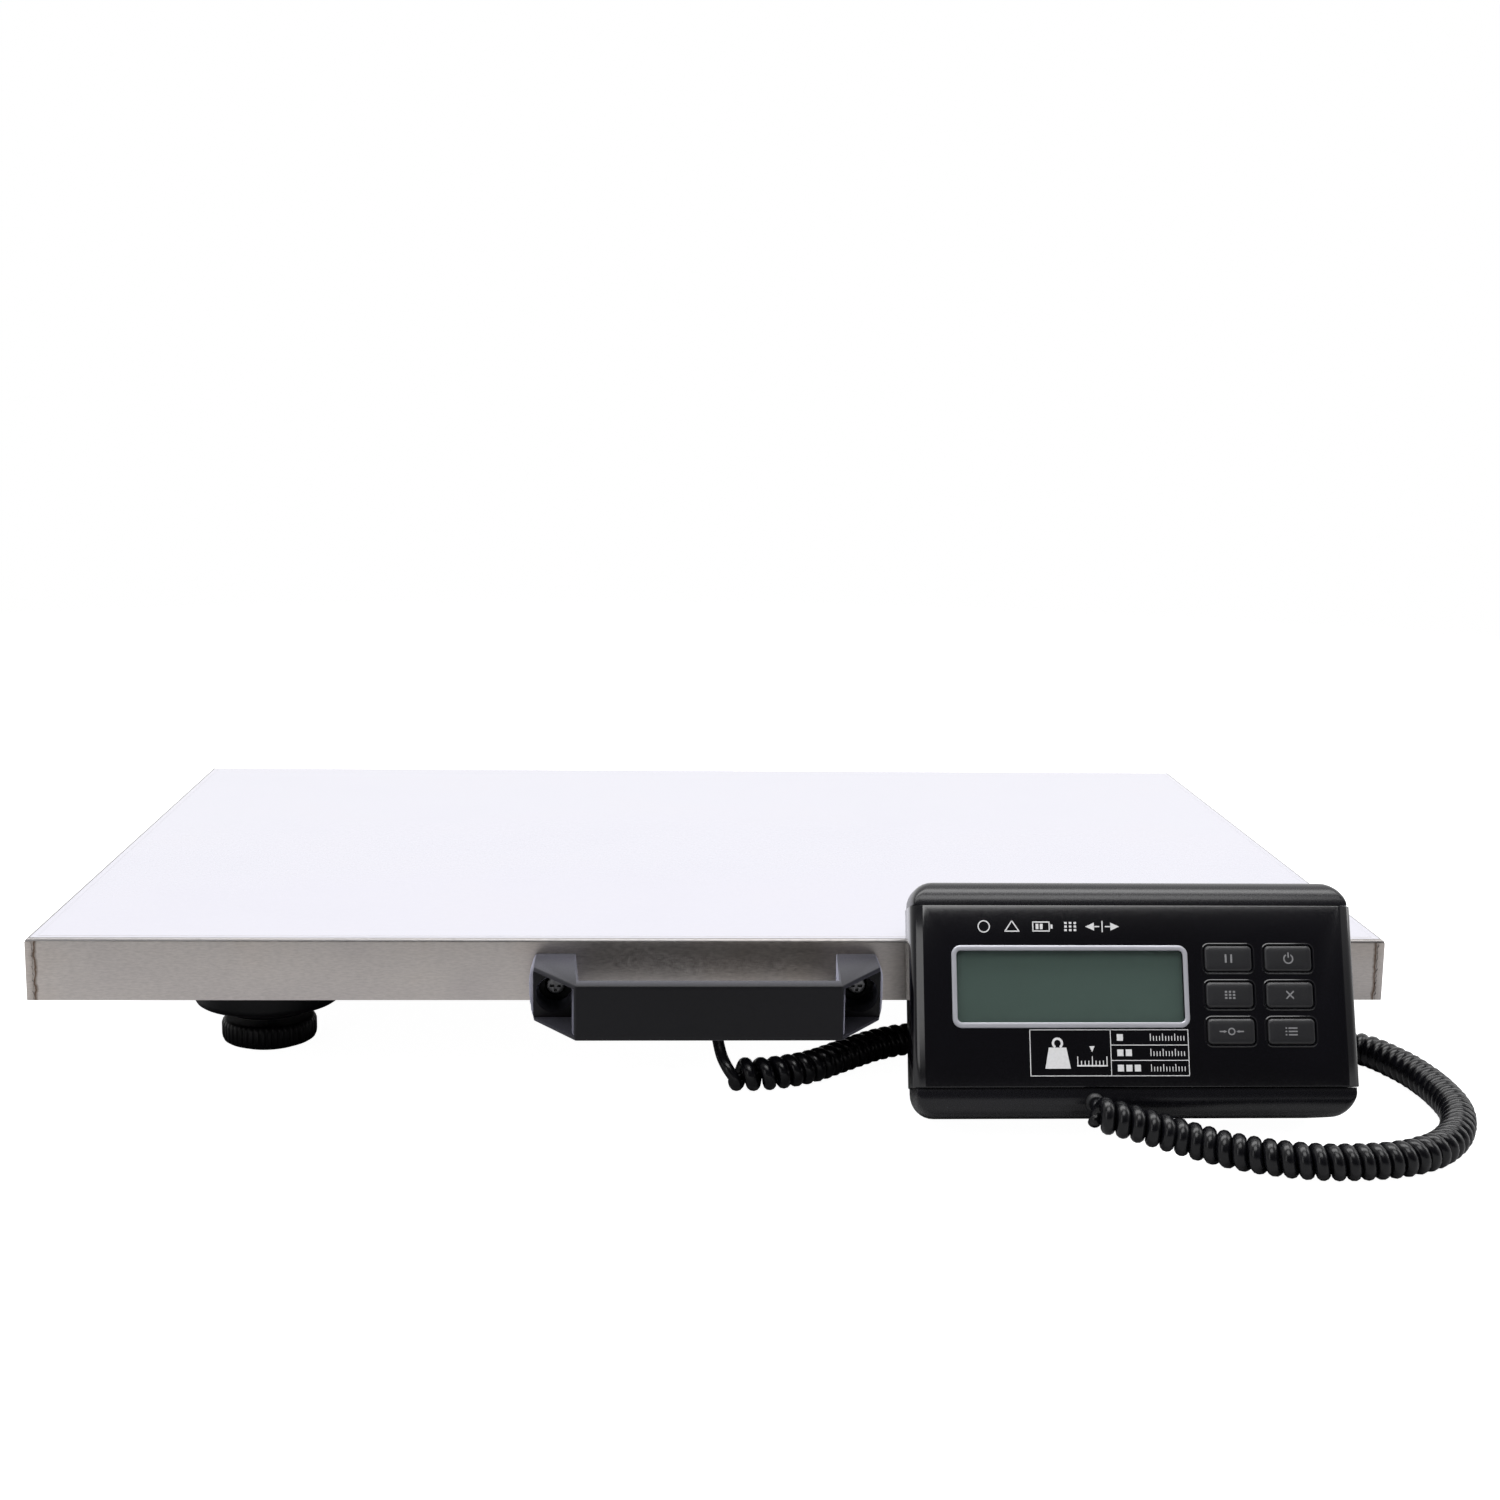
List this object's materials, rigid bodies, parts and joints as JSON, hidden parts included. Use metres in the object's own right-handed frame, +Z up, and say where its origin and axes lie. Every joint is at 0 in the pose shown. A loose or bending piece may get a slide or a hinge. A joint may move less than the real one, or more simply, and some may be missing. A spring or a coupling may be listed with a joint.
{
  "type": "platform scale",
  "caption": "Low stainless platform scale on levelling load-cell feet, with a front carry handle and a separate leaning display unit on a curly cord.",
  "frame": {"origin": "on the floor, under the middle of the box that holds the platform and the indicator", "axes": "+Z up; +X to the right along the deck's long side; the front, with handle and indicator, faces -Y"},
  "size_m": [0.6307, 0.5087, 0.1042],
  "materials": {
    "stainless": "brushed",
    "frame_paint": "satin",
    "cell_alloy": "satin",
    "foot_plastic": "moulded",
    "foot_rubber": "matte",
    "zinc_steel": "zinc plated",
    "brass": "turned",
    "handle_plastic": "fine moulded grain",
    "box_plastic": "moulded",
    "board": "solder mask",
    "lead_jacket": "PVC",
    "clip_nylon": "nylon",
    "cord_jacket": "satin polyurethane",
    "relief_rubber": "satin",
    "case_plastic": "satin",
    "cover_plastic": "polished",
    "bezel_silver": "silver satin",
    "display_glass": "clear",
    "lcd_panel": "unlit grey green",
    "keypad_rubber": "silicone",
    "key_plastic": "satin",
    "battery_can": "satin",
    "small_black": "moulded"
  },
  "bodies": {
    "platform": {"deck_pan": "stainless", "frame_rail_front": "frame_paint", "frame_rail_back": "frame_paint", "frame_rail_left": "frame_paint", "frame_rail_right": "frame_paint", "frame_cross_members": "frame_paint", "foot_plates": "frame_paint", "load_cell_housing_fl": "foot_plastic", "load_cell_housing_fr": "foot_plastic", "load_cell_housing_bl": "foot_plastic", "load_cell_housing_br": "foot_plastic", "load_cell_fl": "cell_alloy", "load_cell_fr": "cell_alloy", "load_cell_bl": "cell_alloy", "load_cell_br": "cell_alloy", "load_bushes": "brass", "housing_screws": "zinc_steel", "handle": "handle_plastic", "handle_screws": "zinc_steel", "junction_box": "box_plastic", "junction_lid": "box_plastic", "junction_board": "board", "sensor_leads": "lead_jacket", "lead_clips": "clip_nylon", "cord_gland": "relief_rubber", "cord_tail_platform": "cord_jacket", "cord_coil": "cord_jacket"},
    "foot_fl": {"foot_pad_fl": "foot_rubber"},
    "foot_fr": {"foot_pad_fr": "foot_rubber"},
    "foot_bl": {"foot_pad_bl": "foot_rubber"},
    "foot_br": {"foot_pad_br": "foot_rubber"},
    "knob_fl": {"foot_knob_fl": "foot_plastic", "foot_stud_fl": "zinc_steel"},
    "knob_fr": {"foot_knob_fr": "foot_plastic", "foot_stud_fr": "zinc_steel"},
    "knob_bl": {"foot_knob_bl": "foot_plastic", "foot_stud_bl": "zinc_steel"},
    "knob_br": {"foot_knob_br": "foot_plastic", "foot_stud_br": "zinc_steel"},
    "indicator": {"cord_tail_indicator": "cord_jacket", "strain_relief": "relief_rubber", "indicator_back_case": "case_plastic", "indicator_front_cover": "cover_plastic", "lcd_bezel": "bezel_silver", "lcd_window": "display_glass", "lcd_module": "lcd_panel", "display_board": "board", "keypad_mat": "keypad_rubber", "battery": "battery_can", "battery_snap": "small_black", "dc_jack": "small_black", "buzzer": "small_black", "case_screws": "zinc_steel"},
    "key_hold": {"key_hold": "key_plastic"},
    "key_power": {"key_power": "key_plastic"},
    "key_count": {"key_count": "key_plastic"},
    "key_clear": {"key_clear": "key_plastic"},
    "key_tare": {"key_tare": "key_plastic"},
    "key_mode": {"key_mode": "key_plastic"},
    "battery_door": {"battery_door": "case_plastic"}
  },
  "joints": [
    {"name": "foot_fl_height", "type": "slide", "parent": "platform", "child": "foot_fl", "axis": [0, 0, 1], "range_m": [-0.004, 0.002]},
    {"name": "foot_fl_turn", "type": "hinge", "parent": "foot_fl", "child": "knob_fl", "pos_m": [-0.211, -0.08385, 0], "axis": [0, 0, 1], "range_deg": [-950, 470]},
    {"name": "foot_fr_height", "type": "slide", "parent": "platform", "child": "foot_fr", "axis": [0, 0, 1], "range_m": [-0.004, 0.002]},
    {"name": "foot_fr_turn", "type": "hinge", "parent": "foot_fr", "child": "knob_fr", "pos_m": [0.211, -0.08385, 0], "axis": [0, 0, 1], "range_deg": [-950, 470]},
    {"name": "foot_bl_height", "type": "slide", "parent": "platform", "child": "foot_bl", "axis": [0, 0, 1], "range_m": [-0.004, 0.002]},
    {"name": "foot_bl_turn", "type": "hinge", "parent": "foot_bl", "child": "knob_bl", "pos_m": [-0.211, 0.14815, 0], "axis": [0, 0, 1], "range_deg": [-950, 470]},
    {"name": "foot_br_height", "type": "slide", "parent": "platform", "child": "foot_br", "axis": [0, 0, 1], "range_m": [-0.004, 0.002]},
    {"name": "foot_br_turn", "type": "hinge", "parent": "foot_br", "child": "knob_br", "pos_m": [0.211, 0.14815, 0], "axis": [0, 0, 1], "range_deg": [-950, 470]},
    {"name": "indicator_pull", "type": "slide", "parent": "platform", "child": "indicator", "axis": [0, -1, 0], "range_m": [0, 0.12], "deforming": ["cord_coil"]},
    {"name": "key_hold_press", "type": "slide", "parent": "indicator", "child": "key_hold", "axis": [0, 0.9336, -0.3584], "range_m": [0, 0.001], "stiffness_N_per_m": 600, "deforming": ["keypad_mat"]},
    {"name": "key_power_press", "type": "slide", "parent": "indicator", "child": "key_power", "axis": [0, 0.9336, -0.3584], "range_m": [0, 0.001], "stiffness_N_per_m": 600, "deforming": ["keypad_mat"]},
    {"name": "key_count_press", "type": "slide", "parent": "indicator", "child": "key_count", "axis": [0, 0.9336, -0.3584], "range_m": [0, 0.001], "stiffness_N_per_m": 600, "deforming": ["keypad_mat"]},
    {"name": "key_clear_press", "type": "slide", "parent": "indicator", "child": "key_clear", "axis": [0, 0.9336, -0.3584], "range_m": [0, 0.001], "stiffness_N_per_m": 600, "deforming": ["keypad_mat"]},
    {"name": "key_tare_press", "type": "slide", "parent": "indicator", "child": "key_tare", "axis": [0, 0.9336, -0.3584], "range_m": [0, 0.001], "stiffness_N_per_m": 600, "deforming": ["keypad_mat"]},
    {"name": "key_mode_press", "type": "slide", "parent": "indicator", "child": "key_mode", "axis": [0, 0.9336, -0.3584], "range_m": [0, 0.001], "stiffness_N_per_m": 600, "deforming": ["keypad_mat"]},
    {"name": "battery_door_slide", "type": "slide", "parent": "indicator", "child": "battery_door", "axis": [1, 0, 0], "range_m": [0, 0.012]}
  ],
  "couplings": [
    {"joint": "foot_fl_height", "follows": "foot_fl_turn", "m_per_rad": 0.00023873},
    {"joint": "foot_fr_height", "follows": "foot_fr_turn", "m_per_rad": 0.00023873},
    {"joint": "foot_bl_height", "follows": "foot_bl_turn", "m_per_rad": 0.00023873},
    {"joint": "foot_br_height", "follows": "foot_br_turn", "m_per_rad": 0.00023873}
  ]
}
